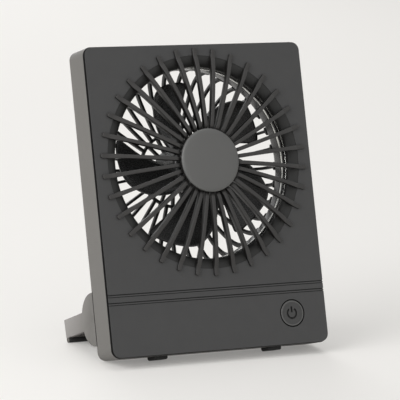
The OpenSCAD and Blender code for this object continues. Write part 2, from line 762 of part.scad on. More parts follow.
module battery_pads() {
  color([0.16, 0.16, 0.17]) for (y = [cover_t, back_y - cell_t - pad_t])
    translate([cell_x0 + pad_side, y, cell_z0 + pad_end])
      cube([cell_w - 2 * pad_side, pad_t, cell_h - 2 * pad_end]);
}

module battery_ribs() {
  slab(back_y - rib_reach, back_y + EPS) difference() {
    translate([cell_x0 - rib_t - 0.3, cell_z0 - rib_t - 0.3])
      square([cell_w + 2 * rib_t + 0.6, cell_h + 2 * rib_t + 0.6]);
    translate([cell_x0 - 0.3, cell_z0 - 0.3]) square([cell_w + 0.6, cell_h + 0.6]);
  }
}

module battery_leads() {
  lead_r = 0.7;
  for (s = [0, 1]) color(s == 0 ? [0.7, 0.1, 0.1] : black)
    translate([cell_x0 + cell_w, board_y - lead_r, cell_z0 + cell_h - 6 - 4 * s])
      rotate([0, 90, 0]) cylinder(r = lead_r, h = 2 * board_gap, $fn = 24);
}

/* ---- stand ---- */

// Places (along, square) outlines on the open stand, extruded from x0 to x1.
module on_arm(x0, x1) {
  translate([x0, hinge_y, hinge_z]) rotate([-arm_drop, 0, 0]) rotate([90, 0, 90])
    linear_extrude(x1 - x0) children();
}

web_t = 3;
web_v = -1;                 // underside of the web, measured square to the arm
web_u = 17;
end_t = 3;
arch_r = cage_r + 1.6;      // the arch clears the cage when the stand is folded up

module stand() {
  low = arm_rise - arm_h / 2;
  color(shell_color) difference() {
    union() {
      for (s = [-1, 1]) {
        x0 = s > 0 ? disc_x - arm_t : -disc_x;
        on_arm(x0, x0 + arm_t) {
          circle(disc_r, $fn = 96);
          translate([0, low]) square([arm_len, arm_h]);
        }
        // end wall over each foot
        on_arm(s > 0 ? arch_x : -disc_x + EPS, s > 0 ? disc_x - EPS : -arch_x)
          translate([arm_len - end_t, low]) square([end_t, arm_h]);
      }
      // web between the arms
      on_arm(-disc_x + EPS, disc_x - EPS) translate([web_u, web_v]) square([arm_len - web_u - EPS, web_t]);
    }
    // arch that clears the cage
    translate([0, hinge_y, hinge_z]) rotate([-arm_drop, 0, 0])
      translate([0, fan_z - hinge_z, arm_rise - arm_h]) cylinder(r = arch_r, h = 2 * arm_h, $fn = 120);
    ball_r = (dimple_r * dimple_r + dimple_d * dimple_d) / (2 * dimple_d);
    for (s = [-1, 1]) {
      hinge_disc(s, pin_r + running_gap, disc_x - arm_t - 1, disc_x - pin_cover);
      translate([s * (disc_x - dimple_d + ball_r), hinge_y, hinge_z]) sphere(r = ball_r, $fn = 96);
    }
  }
}

module stand_pad(s) {
  low = arm_rise - arm_h / 2;
  color(black) on_arm(s > 0 ? arch_x + 2 : -disc_x, s > 0 ? disc_x : -arch_x - 2) difference() {
    union() {
      translate([pad_u, pad_v]) circle(pad_r);
      translate([pad_u - pad_r, pad_v]) square([2 * pad_r, low - pad_v]);
    }
    translate([pad_u - 2 * pad_r, low]) square(4 * pad_r);
  }
}

module stand_pad_left() { stand_pad(-1); }

module stand_pad_right() { stand_pad(1); }

module hinge_pin(s) {
  color(steel) hinge_disc(s, pin_r, lug_x - lug_t, disc_x - pin_cover - 0.1);
}

module hinge_pin_left() { hinge_pin(-1); }

module hinge_pin_right() { hinge_pin(1); }

module hinge_washers() {
  color([0.75, 0.72, 0.6]) for (s = [-1, 1])
    translate([s * (washer_x - washer_t), hinge_y, hinge_z]) rotate([0, s * 90, 0]) difference() {
      cylinder(r = lug_r - 1, h = washer_t);
      translate([0, 0, -1]) cylinder(r = pin_r + 0.1, h = washer_t + 2);
    }
}

placed() front_cover();
placed() rear_shell();
placed() duct_ring();
placed() front_grille();
placed() grille_cap();
placed() rear_grille();
placed() grille_screws();
placed() case_screws();
placed() foot_left();
placed() foot_right();
placed() motor_can();
placed() motor_end_cap();
placed() motor_magnets();
placed() motor_bushes();
placed() motor_screws();
placed() battery_front();
placed() battery_rear();
placed() battery_pads();
placed() battery_leads();
placed() circuit_board();
placed() board_screws();
placed() switch_body();
placed() usb_shell();
placed() usb_tongue();
placed() hinge_pin_left();
placed() hinge_pin_right();
placed() hinge_washers();
placed() impeller();
placed() motor_shaft();
placed() motor_armature();
placed() power_button();
placed() switch_plunger();
placed() stand();
placed() stand_pad_left();
placed() stand_pad_right();
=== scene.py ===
"""Portable camping fan: finished pieces, materials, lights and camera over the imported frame."""
import json
import math

import bmesh
import bpy
from mathutils import Matrix, Vector

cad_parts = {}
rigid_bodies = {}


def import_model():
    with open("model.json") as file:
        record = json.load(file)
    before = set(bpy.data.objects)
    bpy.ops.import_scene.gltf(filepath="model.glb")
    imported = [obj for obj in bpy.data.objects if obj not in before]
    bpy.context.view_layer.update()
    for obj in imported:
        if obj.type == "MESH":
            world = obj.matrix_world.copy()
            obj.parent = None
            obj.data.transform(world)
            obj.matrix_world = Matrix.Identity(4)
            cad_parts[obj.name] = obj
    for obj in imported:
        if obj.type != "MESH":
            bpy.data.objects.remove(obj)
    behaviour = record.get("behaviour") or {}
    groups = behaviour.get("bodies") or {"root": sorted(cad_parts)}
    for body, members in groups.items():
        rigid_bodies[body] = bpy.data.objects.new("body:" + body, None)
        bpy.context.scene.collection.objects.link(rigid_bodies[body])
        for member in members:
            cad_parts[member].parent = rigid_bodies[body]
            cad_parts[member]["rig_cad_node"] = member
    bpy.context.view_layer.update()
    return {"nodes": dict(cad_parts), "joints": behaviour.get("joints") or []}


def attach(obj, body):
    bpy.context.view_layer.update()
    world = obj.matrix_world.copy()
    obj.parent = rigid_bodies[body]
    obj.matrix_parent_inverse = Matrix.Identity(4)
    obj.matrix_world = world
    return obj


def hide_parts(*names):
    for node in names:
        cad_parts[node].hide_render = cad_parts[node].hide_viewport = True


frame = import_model()

MM = 0.001

# The fan leans back by this much, and its case frame has x to the right, y to the
# rear from the front face and z up from the underside, all in millimetres.
joints = {joint["name"]: joint for joint in frame["joints"]}
fan_axis = Vector(joints["fan_spin"]["axis"]).normalized()
fan_point = Vector(joints["fan_spin"]["pos_m"])
lean = math.atan2(-fan_axis.z, fan_axis.y)
fan_z = 108.6                 # height of the fan's axis in the case frame
fan_point_depth = 15          # depth of fan_point behind the front face
case_to_row = (Matrix.Translation(fan_point) @ Matrix.Rotation(-lean, 4, "X")
               @ Matrix.Translation(Vector((0, -fan_point_depth, -fan_z)) * MM))
row_to_case = case_to_row.inverted()


# ---------------------------------------------------------------- camera

# A long lens, low and to the left of the fan, so that the left side shows a little.
camera_data = bpy.data.cameras.new("camera")
camera = bpy.data.objects.new("camera", camera_data)
bpy.context.collection.objects.link(camera)
camera_place = Vector((-0.757827, -1.403513, 0.422346))
camera_heading = 28.459       # degrees to the right of straight behind
camera_dip = 11.933           # degrees below level
camera_roll = 3.237           # degrees anticlockwise, seen from behind the camera
camera_data.sensor_width = 36
camera_data.lens = 253.8
camera_data.clip_end = 20
camera.matrix_world = (Matrix.Translation(camera_place)
                       @ Matrix.Rotation(math.radians(-camera_heading), 4, "Z")
                       @ Matrix.Rotation(math.radians(90 - camera_dip), 4, "X")
                       @ Matrix.Rotation(math.radians(camera_roll), 4, "Z"))
bpy.context.scene.camera = camera
bpy.context.scene.view_settings.view_transform = "Standard"


# ---------------------------------------------------------------- materials

def linear(hex_colour):
    """An sRGB colour such as "4e4e4d" as linear RGBA."""
    channels = [int(hex_colour[i:i + 2], 16) / 255 for i in (0, 2, 4)]
    return tuple(c / 12.92 if c <= 0.04045 else ((c + 0.055) / 1.055) ** 2.4
                 for c in channels) + (1.0,)


def add(material, kind, inputs=None, **settings):
    """Adds a node to a material. An input given as a socket is linked, and a value is set."""
    node = material.node_tree.nodes.new(kind)
    for name, value in settings.items():
        setattr(node, name, value)
    for name, value in (inputs or {}).items():
        if isinstance(value, bpy.types.NodeSocket):
            material.node_tree.links.new(value, node.inputs[name])
        else:
            node.inputs[name].default_value = value
    return node


def moulded(name, base, worn, rough, grain_mm, grain_depth_mm, ior=1.5, cloud_mm=30.0):
    """Injection-moulded plastic: a spark-eroded grain, and a slow cloud of colour and gloss.

    base and worn are the hex colours between which the cloud moves, and rough is the
    range of roughness."""
    material = bpy.data.materials.new(name)
    material.use_nodes = True
    shader = material.node_tree.nodes["Principled BSDF"]
    link = material.node_tree.links.new
    place = add(material, "ShaderNodeTexCoord").outputs["Object"]
    cloud = add(material, "ShaderNodeTexNoise",
                {"Vector": place, "Scale": 1 / (cloud_mm * MM), "Detail": 4.0, "Roughness": 0.6})
    tint = add(material, "ShaderNodeMix",
               {"Factor": cloud.outputs["Fac"]}, data_type="RGBA")
    tint.inputs["A"].default_value = linear(base)
    tint.inputs["B"].default_value = linear(worn)
    grain = add(material, "ShaderNodeTexNoise",
                {"Vector": place, "Scale": 1 / (grain_mm * MM), "Detail": 2.0, "Roughness": 0.55})
    gloss = add(material, "ShaderNodeMapRange",
                {"Value": grain.outputs["Fac"], "From Min": 0.3, "From Max": 0.7,
                 "To Min": rough[0], "To Max": rough[1]})
    bump = add(material, "ShaderNodeBump",
               {"Height": grain.outputs["Fac"], "Strength": 1.0, "Distance": grain_depth_mm * MM})
    link(tint.outputs["Result"], shader.inputs["Base Color"])
    link(gloss.outputs["Result"], shader.inputs["Roughness"])
    link(bump.outputs["Normal"], shader.inputs["Normal"])
    shader.inputs["IOR"].default_value = ior
    return material


# ABS with a fine spark-eroded grain: flat, slightly dusty grey with a soft sheen.
# The grain is 0.35 mm, coarser than a real one, so that it just shows.
cover_abs = moulded("cover_grained_abs", "3d3d3e", "444444", (0.50, 0.64), 0.35, 0.02,
                    cloud_mm=9.0)
# The same resin, lighter, on the shell and the stand.
shell_abs = moulded("shell_grained_abs", "5f5d5a", "666461", (0.46, 0.58), 0.35, 0.03)
# Duct and cage: black ABS straight from a polished tool, so its walls gleam.
duct_abs = moulded("duct_black_abs", "141414", "191919", (0.22, 0.30), 0.5, 0.005, 1.52)
# Bell mouth, cage bars and all recesses: the same resin with a fine matte grain.
mouth_abs = moulded("mouth_matte_abs", "1c1c1b", "212120", (0.50, 0.62), 0.35, 0.012)
# Grille fins: their fronts carry the grain.
fin_abs = moulded("fin_grained_abs", "2c2b2a", "32302f", (0.36, 0.48), 0.35, 0.02)
# The fins' sides and backs: a smoother finish with painted shade, so that they look nearly black.
fin_painted_shade_abs = moulded("fin_smooth_abs", "151413", "191817", (0.30, 0.38), 0.5, 0.006)
# Seams, grooves, engraved lines and the button's hole: near-black painted shade, with a fine
# grain.
painted_shade_abs = moulded("joint_black_abs", "0b0b0b", "101010", (0.60, 0.72), 0.35, 0.02)
# Cap and button: finer grain, smoother to the touch.
cap_abs = moulded("cap_satin_abs", "5c5c5b", "626261", (0.38, 0.46), 0.3, 0.008)
button_abs = moulded("button_satin_abs", "3b3b3b", "404040", (0.42, 0.52), 0.3, 0.008)
# The button's rim: paler and glossier, a painted highlight.
rim_painted_highlight_abs = moulded("button_rim_abs", "555554", "5b5b5a", (0.24, 0.32), 0.3, 0.006)
# The stand: the shell's resin, with painted light that makes it paler towards the end of the arm.
stand_abs = moulded("stand_grained_abs", "5f5d5a", "666461", (0.46, 0.58), 0.35, 0.03)
stand_colour = stand_abs.node_tree.nodes["Principled BSDF"].inputs["Base Color"]
# Painted light: the arm turns paler from near the hinge towards its end.
hinge_back = joints["stand_fold"]["pos_m"][1]
painted_light_start = 4 * MM            # behind the hinge
painted_light_full = 34 * MM
stand_place = add(stand_abs, "ShaderNodeTexCoord").outputs["Object"]
along_arm = add(stand_abs, "ShaderNodeSeparateXYZ", {"Vector": stand_place}).outputs["Y"]
painted_light_ramp = add(stand_abs, "ShaderNodeMapRange",
             {"Value": along_arm, "From Min": hinge_back + painted_light_start,
              "From Max": hinge_back + painted_light_full})
paler = add(stand_abs, "ShaderNodeMix", {"Factor": painted_light_ramp.outputs["Result"]}, data_type="RGBA")
stand_abs.node_tree.links.new(stand_colour.links[0].from_socket, paler.inputs["A"])
paler.inputs["B"].default_value = linear("8b8886")
stand_abs.node_tree.links.new(paler.outputs["Result"], stand_colour)
# Impeller: black polypropylene with a soft gloss.
impeller_pp = moulded("impeller_black_pp", "272727", "2d2d2d", (0.22, 0.32), 0.6, 0.005, 1.49)
# Feet and pads: nitrile rubber, matte and slightly dusty.
foot_nbr = moulded("foot_nitrile_rubber", "1d1d1d", "242423", (0.75, 0.88), 0.45, 0.03, 1.52, 6.0)
# The stand's pads: soft rubber in the colour of the arm.
pad_tpe = moulded("pad_grey_tpe", "55534f", "5c5a56", (0.70, 0.82), 0.45, 0.03, 1.52, 6.0)
# Inner mouldings: plain nylon.
inner_nylon = moulded("inner_nylon", "26262a", "2c2c2f", (0.5, 0.6), 0.5, 0.01, 1.53)
# Acetal washers: milky off-white.
washer_acetal = moulded("washer_acetal", "c9c4b4", "d2cdbf", (0.35, 0.45), 0.5, 0.006, 1.48)
# Foil pouch of a lithium cell: dull silver skin.
cell_foil = moulded("cell_pouch_foil", "9a9c9f", "a3a5a8", (0.38, 0.5), 1.2, 0.03)
cell_foil.node_tree.nodes["Principled BSDF"].inputs["Metallic"].default_value = 0.85
# Foam tape round the cells: open and dull.
pad_foam = moulded("pad_foam_tape", "232325", "2b2b2d", (0.9, 0.97), 0.5, 0.08, 1.45)
# Insulated wire.
lead_pvc = moulded("lead_red_pvc", "8c1f1c", "952522", (0.4, 0.5), 0.6, 0.005, 1.53)
# Circuit board under green solder mask.
board_mask = moulded("board_solder_mask", "12422a", "174a30", (0.25, 0.35), 0.8, 0.006)


def machined(name, base, rough, turned_mm):
    """Bare or plated metal with the fine marks of its making."""
    material = bpy.data.materials.new(name)
    material.use_nodes = True
    shader = material.node_tree.nodes["Principled BSDF"]
    link = material.node_tree.links.new
    place = add(material, "ShaderNodeTexCoord").outputs["Object"]
    marks = add(material, "ShaderNodeTexNoise",
                {"Vector": place, "Scale": 1 / (turned_mm * MM), "Detail": 3.0})
    gloss = add(material, "ShaderNodeMapRange",
                {"Value": marks.outputs["Fac"], "To Min": rough[0], "To Max": rough[1]})
    bump = add(material, "ShaderNodeBump",
               {"Height": marks.outputs["Fac"], "Strength": 0.6, "Distance": 0.004 * MM})
    shader.inputs["Base Color"].default_value = linear(base)
    shader.inputs["Metallic"].default_value = 1.0
    link(gloss.outputs["Result"], shader.inputs["Roughness"])
    link(bump.outputs["Normal"], shader.inputs["Normal"])
    return material


# Black zinc-plated screws: dark grey with a soft sheen.
screw_zinc = machined("screw_black_zinc", "55565a", (0.3, 0.45), 0.4)
# Drawn nickel-plated steel of the motor and the port: bright with faint draw marks.
motor_nickel = machined("motor_nickel_steel", "b9b7b0", (0.22, 0.34), 0.7)
# Blackened steel pins: dark, dry and faintly oily.
pin_black = machined("pin_blackened_steel", "2c2b2a", (0.4, 0.52), 0.5)
# Sintered bronze bushes and lacquered copper.
bush_bronze = machined("bush_sintered_bronze", "9a7447", (0.4, 0.55), 0.3)
# Bright metal on the duct's two bevels, slightly satin: painted highlights, thin light lines.
bevel_painted_highlight = machined("bevel_bright_plate", "c4c4c0", (0.14, 0.24), 0.8)
# Sintered ferrite of the magnets.
magnet_ferrite = machined("magnet_ferrite", "3a3a3c", (0.55, 0.7), 0.4)

node_materials = {
    "front_cover": cover_abs, "rear_shell": shell_abs, "duct_ring": duct_abs,
    "front_grille": fin_abs, "grille_cap": cap_abs, "rear_grille": duct_abs,
    "grille_screws": screw_zinc, "case_screws": screw_zinc,
    "foot_left": foot_nbr, "foot_right": foot_nbr,
    "motor_can": motor_nickel, "motor_end_cap": inner_nylon, "motor_magnets": magnet_ferrite,
    "motor_bushes": bush_bronze, "motor_screws": screw_zinc,
    "battery_front": cell_foil, "battery_rear": cell_foil, "battery_pads": pad_foam,
    "battery_leads": lead_pvc, "circuit_board": board_mask, "board_screws": screw_zinc,
    "switch_body": inner_nylon, "usb_shell": motor_nickel, "usb_tongue": inner_nylon,
    "hinge_pin_left": pin_black, "hinge_pin_right": pin_black, "hinge_washers": washer_acetal,
    "impeller": impeller_pp, "motor_shaft": motor_nickel, "motor_armature": bush_bronze,
    "power_button": cap_abs, "switch_plunger": inner_nylon,
    "stand": stand_abs, "stand_pad_left": foot_nbr, "stand_pad_right": foot_nbr,
}


def dress(obj, material):
    """Gives an object one material, in its own slot, and leaves that of a recess as it is."""
    if not obj.material_slots:
        obj.data.materials.append(material)
    for i, material_slot in enumerate(obj.material_slots):
        if i == 0 or "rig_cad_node" in obj:
            material_slot.material = material


for node_name, node_material in node_materials.items():
    dress(frame["nodes"][node_name], node_material)


# ---------------------------------------------------------------- modelling helpers

def metres(*lengths):
    """Lengths in millimetres as a list of metres."""
    return [length * MM for length in lengths]


def only(piece):
    """Selects one object and nothing else."""
    bpy.ops.object.select_all(action="DESELECT")
    piece.select_set(True)
    bpy.context.view_layer.objects.active = piece


def edit(piece, kind="FACE"):
    """Opens an object in edit mode, with all of it selected."""
    only(piece)
    bpy.ops.object.mode_set(mode="EDIT")
    bpy.ops.mesh.select_mode(type=kind)
    bpy.ops.mesh.select_all(action="SELECT")


def close_edit():
    """Goes back to object mode."""
    bpy.ops.object.mode_set(mode="OBJECT")


def applied(piece, kind, **settings):
    """Adds a modifier, sets it and applies it."""
    only(piece)
    modifier = piece.modifiers.new(kind.lower(), kind)
    for name, value in settings.items():
        setattr(modifier, name, value)
    bpy.ops.object.modifier_apply(modifier=modifier.name)


def rounded(piece, radius, test=None, angle=35, segments=3):
    """Rounds an object's sharp edges, or those whose middle passes the test, by radius in mm."""
    mesh = bmesh.new()
    mesh.from_mesh(piece.data)
    weight = (mesh.edges.layers.float.get("bevel_weight_edge")
              or mesh.edges.layers.float.new("bevel_weight_edge"))
    for edge in mesh.edges:
        middle = (edge.verts[0].co + edge.verts[1].co) / 2 / MM
        sharp = edge.is_manifold and edge.calc_face_angle(0) > math.radians(angle)
        edge[weight] = 1.0 if sharp and (test is None or test(middle)) else 0.0
    mesh.to_mesh(piece.data)
    mesh.free()
    applied(piece, "BEVEL", limit_method="WEIGHT", width=radius * MM, segments=segments,
            miter_outer="MITER_ARC")


def seat(piece, name, body, material, nodes, turn=0, smooth=35):
    """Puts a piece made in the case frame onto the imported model, in place of some of its nodes.

    turn is in degrees about the fan's axis, anticlockwise seen from the front."""
    about_fan = Matrix.Translation((0, 0, fan_z * MM))
    piece.name = name
    piece.matrix_world = (case_to_row @ about_fan @ Matrix.Rotation(-math.radians(turn), 4, "Y")
                          @ about_fan.inverted())
    only(piece)
    bpy.ops.object.transform_apply(location=True, rotation=True, scale=True)
    bpy.ops.object.shade_smooth_by_angle(angle=math.radians(smooth))
    dress(piece, material)
    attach(piece, body)
    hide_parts(*nodes)


def recess(piece, material, test):
    """Gives the faces whose middle passes the test a second material, in the case frame."""
    piece.data.materials.clear()
    piece.data.materials.append(None)
    piece.data.materials.append(material)
    for face in piece.data.polygons:
        face.material_index = 1 if test(face.center / MM, face.normal) else 0


def copied(piece):
    """A copy with its own mesh."""
    twin = piece.copy()
    twin.data = piece.data.copy()
    bpy.context.collection.objects.link(twin)
    return twin


def from_node(node):
    """A new object in the case frame with a CAD node's mesh, merged and with whole flat faces."""
    piece = bpy.data.objects.new(node + "_finished", frame["nodes"][node].data.copy())
    bpy.context.collection.objects.link(piece)
    piece.data.transform(row_to_case)
    edit(piece, "VERT")
    bpy.ops.mesh.remove_doubles(threshold=0.002 * MM)
    bpy.ops.mesh.dissolve_limited(angle_limit=math.radians(0.2))
    close_edit()
    return piece


def drawn(sections):
    """A bar drawn out from section to section, each of four corners in millimetres."""
    bpy.ops.mesh.primitive_plane_add(size=MM, location=(0, 0, 0))
    piece = bpy.context.object
    edit(piece)

    def shape(section):
        mesh = bmesh.from_edit_mesh(piece.data)
        face = next(f for f in mesh.faces if f.select)
        for corner, place in zip(face.verts, section):
            corner.co = Vector(place) * MM
        bmesh.update_edit_mesh(piece.data)

    shape(sections[0])
    for section in sections[1:]:
        bpy.ops.mesh.extrude_region_move()
        shape(section)
    bpy.ops.mesh.select_all(action="SELECT")
    bpy.ops.mesh.normals_make_consistent(inside=False)
    close_edit()
    return piece


def turned(outline, steps=160):
    """A ring turned about the fan's axis from a closed outline of (radius, depth) in mm."""
    bpy.ops.mesh.primitive_circle_add(vertices=len(outline), radius=MM)
    piece = bpy.context.object
    for corner, (radius, depth) in zip(piece.data.vertices, outline):
        corner.co = Vector((0, depth, fan_z + radius)) * MM
    edit(piece, "VERT")
    bpy.ops.mesh.spin(steps=steps, angle=math.tau, center=(0, 0, fan_z * MM), axis=(0, 1, 0))
    bpy.ops.mesh.select_all(action="SELECT")
    bpy.ops.mesh.remove_doubles(threshold=0.001 * MM)
    bpy.ops.mesh.normals_make_consistent(inside=False)
    close_edit()
    return piece


# ---------------------------------------------------------------- case

case_half_w = 70
case_h = 177
case_d = 20.5
opening_r = 61.7
button_x = 47.3
button_z = 18.1


def on_front(p):
    """Whether a place in the case frame, in millimetres, lies on the front face."""
    return p.y < 0.05


def by_edge(p, reach=1):
    """Whether a place is by the case's outer edge: 1 mm at the sides, reach above and below."""
    return abs(p.x) > case_half_w - 1 or p.z < reach or p.z > case_h - reach


def by_lines(p):
    """Whether a place is in the band of the four lines across the cover."""
    return 29 < p.z < 37


def to_button(p):
    """Distance of a place from the button's axis."""
    return math.hypot(p.x - button_x, p.z - button_z)


def to_fan(p):
    """Distance of a place from the fan's axis."""
    return math.hypot(p.x, p.z - fan_z)


button_hole_reach = 9         # the button's hole and its edges lie within this distance
line_end_x = 69.4             # the lines' dark ends stop here, inside the rounded edge
seam_y = 0.34                 # depth of the back of the cover's edge, where the seam starts

cover = from_node("front_cover")
rounded(cover, 0.12, lambda p: on_front(p) and by_edge(p), segments=2)
rounded(cover, 0.1, lambda p: on_front(p) and by_lines(p), segments=1)
rounded(cover, 0.25, lambda p: on_front(p) and to_button(p) < button_hole_reach)
rounded(cover, 0.2, lambda p: on_front(p) and to_fan(p) < opening_r + 0.3)
# The seam behind the cover's edge, the lines and the button's hole get near-black painted shade.
recess(cover, painted_shade_abs, lambda p, n: (
    p.y > seam_y or (p.y > 0.1 and by_edge(p))
    or (p.y > 0.02 and by_lines(p) and abs(p.x) < line_end_x)
    or (p.y > 0.04 and to_button(p) < button_hole_reach)))
seat(cover, "front_cover_finished", "root", cover_abs, ["front_cover"])

collar_reach = 58.2           # the shell's collar lies within this radius
collar_hole_r = 59.8          # hole in the shell's back for the flared collar
back_edge_y = case_d - 0.1    # the edges of the shell's back lie behind this depth
back_corner_x = case_half_w - 2

shell = from_node("rear_shell")
# The collar round the fan is a piece of its own, so the hole in the back takes its flare.
edit(shell)
bpy.ops.mesh.select_all(action="DESELECT")
shell_mesh = bmesh.from_edit_mesh(shell.data)
for face in shell_mesh.faces:
    face.select = max(to_fan(v.co / MM) for v in face.verts) < collar_reach
bmesh.update_edit_mesh(shell.data)
bpy.ops.mesh.delete(type="FACE")
close_edit()
for corner in shell.data.vertices:
    radius = to_fan(corner.co / MM)
    if radius < collar_reach:
        stretch = collar_hole_r / radius
        corner.co.x *= stretch
        corner.co.z = fan_z * MM + (corner.co.z - fan_z * MM) * stretch
rounded(shell, 0.3, lambda p: by_edge(p, 0.7) and p.y < back_edge_y, angle=30)
rounded(shell, 0.5, lambda p: p.y > back_edge_y and abs(p.x) > back_corner_x, angle=30)
rounded(shell, 0.25, lambda p: p.y > back_edge_y and abs(p.x) < back_corner_x, angle=30,
        segments=2)

# A fine groove in each side sets the hinge off.
hinge_z = 24.2                # height of the stand's hinge
groove_y = 19.5
groove_w = 0.9
groove_h = 31
groove_depth = 0.65
groove_tool = 1.6             # thickness of the tool that cuts it
for side in (-1, 1):
    tool_x = side * (case_half_w - groove_depth + groove_tool / 2)
    bpy.ops.mesh.primitive_cube_add(size=1, location=metres(tool_x, groove_y, hinge_z),
                                    scale=metres(groove_tool, groove_w, groove_h))
    groove = bpy.context.object
    applied(shell, "BOOLEAN", object=groove, operation="DIFFERENCE", solver="EXACT")
    bpy.data.objects.remove(groove)


def in_groove(p):
    """Whether a place lies inside one of the two grooves, or on their walls."""
    return (abs(p.z - hinge_z) < groove_h / 2 + 0.1
            and abs(p.y - groove_y) < groove_w / 2 + 0.03
            and case_half_w - groove_depth - 0.05 < abs(p.x) < case_half_w - 0.02)


seam_end_y = 2.2              # the shell's rim in the seam lies in front of this depth
# The shell's rim inside the seam and the walls of the grooves get painted shade.
recess(shell, painted_shade_abs, lambda p, n: p.y < seam_end_y or in_groove(p))
seat(shell, "rear_shell_finished", "root", shell_abs, ["rear_shell"])
# The large flat faces set the shading of the roundings beside them.
for panel in (cover, shell):
    applied(panel, "WEIGHTED_NORMAL", keep_sharp=True)

# The feet are narrower than their solids, with the front set back and round edges.
foot_share = 0.74
foot_front = 1 * MM           # the part of a foot that is set back
foot_set_back = 1.3 * MM
for side in ("left", "right"):
    foot = from_node("foot_" + side)
    middle = sum(v.co.x for v in foot.data.vertices) / len(foot.data.vertices)
    front = min(v.co.y for v in foot.data.vertices)
    for corner in foot.data.vertices:
        corner.co.x = middle + (corner.co.x - middle) * foot_share
        if corner.co.y < front + foot_front:
            corner.co.y += foot_set_back
    rounded(foot, 1.1, lambda p: p.z < -0.1, segments=4)
    seat(foot, f"foot_{side}_finished", "root", foot_nbr, ["foot_" + side])

# ---------------------------------------------------------------- duct

# Outlines are closed and given as (radius, depth behind the front face), in millimetres.
mouth_r = opening_r + 0.1
duct_r = 55.5
duct_outer_r = 57.8
flange_r = 64.3
mouth_end = 4.1               # depth at which the bell mouth ends
duct_end = 10.7               # depth at which the shell's collar takes over

bell = [(mouth_r - (mouth_r - duct_r) * math.sin(math.radians(a)),
         0.3 + 3.5 * (1 - math.cos(math.radians(a)))) for a in range(0, 91, 10)]
mouth = turned(bell + [(duct_r, mouth_end), (duct_outer_r, mouth_end), (duct_outer_r, 4.2),
                       (flange_r, 4.2), (flange_r, 2.2), (mouth_r, 2.2)])
seat(mouth, "duct_bell_mouth", "root", mouth_abs, ["duct_ring"])
# Two bevels with painted highlights run round just behind the mouth, and a groove marks the
# joint.
duct = turned([(duct_r + 0.75, mouth_end), (duct_r + 0.35, 4.6), (duct_r - 0.1, 5.35),
               (duct_r - 0.2, 5.7), (duct_r + 0.05, 5.9), (duct_r + 0.5, 6.2),
               (duct_r + 0.55, 7.5), (duct_r + 0.3, 7.7), (duct_r - 0.05, 7.9),
               (duct_r - 0.2, 9.4), (duct_r - 0.1, 9.7), (duct_r + 0.8, 9.9),
               (duct_r + 0.8, duct_end), (duct_outer_r, duct_end), (duct_outer_r, mouth_end)])
recess(duct, bevel_painted_highlight, lambda p, n: 4.2 < p.y < 5.5 or 7.9 < p.y < 9.4)
seat(duct, "duct_ring_finished", "root", duct_abs, ["duct_ring"])
collar = turned([(duct_r + 0.1, duct_end), (duct_r + 0.1, 16.6), (duct_r + 0.5, 18.2),
                 (duct_r + 1.2, 19.4), (duct_r + 2.3, case_d), (60.2, case_d), (60.2, 18.5),
                 (collar_reach, 16), (duct_outer_r, duct_end)])
seat(collar, "shell_collar", "root", duct_abs, ["rear_shell"])

# ---------------------------------------------------------------- front grille

fin_count = 34
fin_t = 2.2
fin_foot_t = 2.7              # thickness at the outer end
fin_widen_r = 52              # radius from which the fin widens, over fin_widen_run
fin_widen_run = 6
fin_depth = 3.2
fin_tip_h = 1.3
fin_tip_r = 66.1
dome_h = 6.7
dome_r = 61
cap_r = 18.3
cap_dip = 1.8                 # how far the fins sink at the cap's edge, over cap_dip_run
cap_dip_run = 3.2


def bar_section(half, outer, inner):
    """The four corners of a bar's section, from its outer and inner (radius, depth)."""
    return [(x, depth, fan_z + radius) for x, (radius, depth) in
            ((-half, outer), (half, outer), (half, inner), (-half, inner))]


def dome(radius):
    """Height of the fins' front edges above the front face."""
    bulge = (1 - min(1, radius / dome_r) ** 3) ** 0.75
    near_cap = min(1, max(0, 1 - (radius - cap_r) / cap_dip_run))
    return fin_tip_h + (dome_h - fin_tip_h) * bulge - cap_dip * near_cap ** 2


def fin_section(radius, back=None):
    """A fin's section. It is fin_depth deep, unless it ends at the depth back."""
    front = -dome(radius)
    back = front + fin_depth if back is None else back
    widened = min(1, max(0, (radius - fin_widen_r) / fin_widen_run))
    half = (fin_t + (fin_foot_t - fin_t) * widened) / 2
    return bar_section(half, (radius, front), (radius, back))


# A fin starts under the cap, follows the dome and ends on the face with a round nose.
fin = drawn([fin_section(r, -3.5) for r in (16, cap_r)]
            + [fin_section(r) for r in (19.2, 20.4, 22, 25, 29, 33, 37, 41, 45, 48.5, 51.5, 54,
                                        56, 57.8)]
            + [fin_section(r, back) for r, back in
               ((59.2, 1.6), (60.3, 0.9), (61.2, 0.7), (63, 0.6), (fin_tip_r, 0.6))])
rounded(fin, 0.8, lambda p: p.z > fan_z + fin_tip_r - 0.1 and abs(p.x) > 1 and -1 < p.y < 0.5,
        segments=4)
rounded(fin, 0.25, angle=50)
# The fins' sides and backs get painted shade.
recess(fin, fin_painted_shade_abs, lambda p, n: abs(n.x) > 0.5 or n.y > 0.2)
for k in range(fin_count):
    seat(copied(fin), f"grille_fin_{k + 1:02d}", "root", fin_abs,
         ["front_grille"], turn=360 / fin_count * k)
bpy.data.objects.remove(fin)

disc_r = cap_r - 0.3
peg_hole_r = 5.1
disc_back, disc_front = -3.6, -6.6
grille_disc = turned([(peg_hole_r, disc_back), (disc_r, disc_back), (disc_r, disc_front),
                      (peg_hole_r, disc_front)])
seat(grille_disc, "grille_disc", "root", fin_abs, ["front_grille"])

# The cap is very slightly crowned, with a soft edge.
cap = turned([(0, -8.6), (6, -8.58), (11, -8.5), (15, -8.35), (17.2, -8.15), (cap_r, -7.5),
              (cap_r, -6.4), (5.2, -6.6), (5, -4.1), (0, -4.1)])
rounded(cap, 0.5, lambda p: p.y < -7 and to_fan(p) > 17, angle=20)
seat(cap, "grille_cap_finished", "root", cap_abs, ["grille_cap"])

# ---------------------------------------------------------------- rear grille

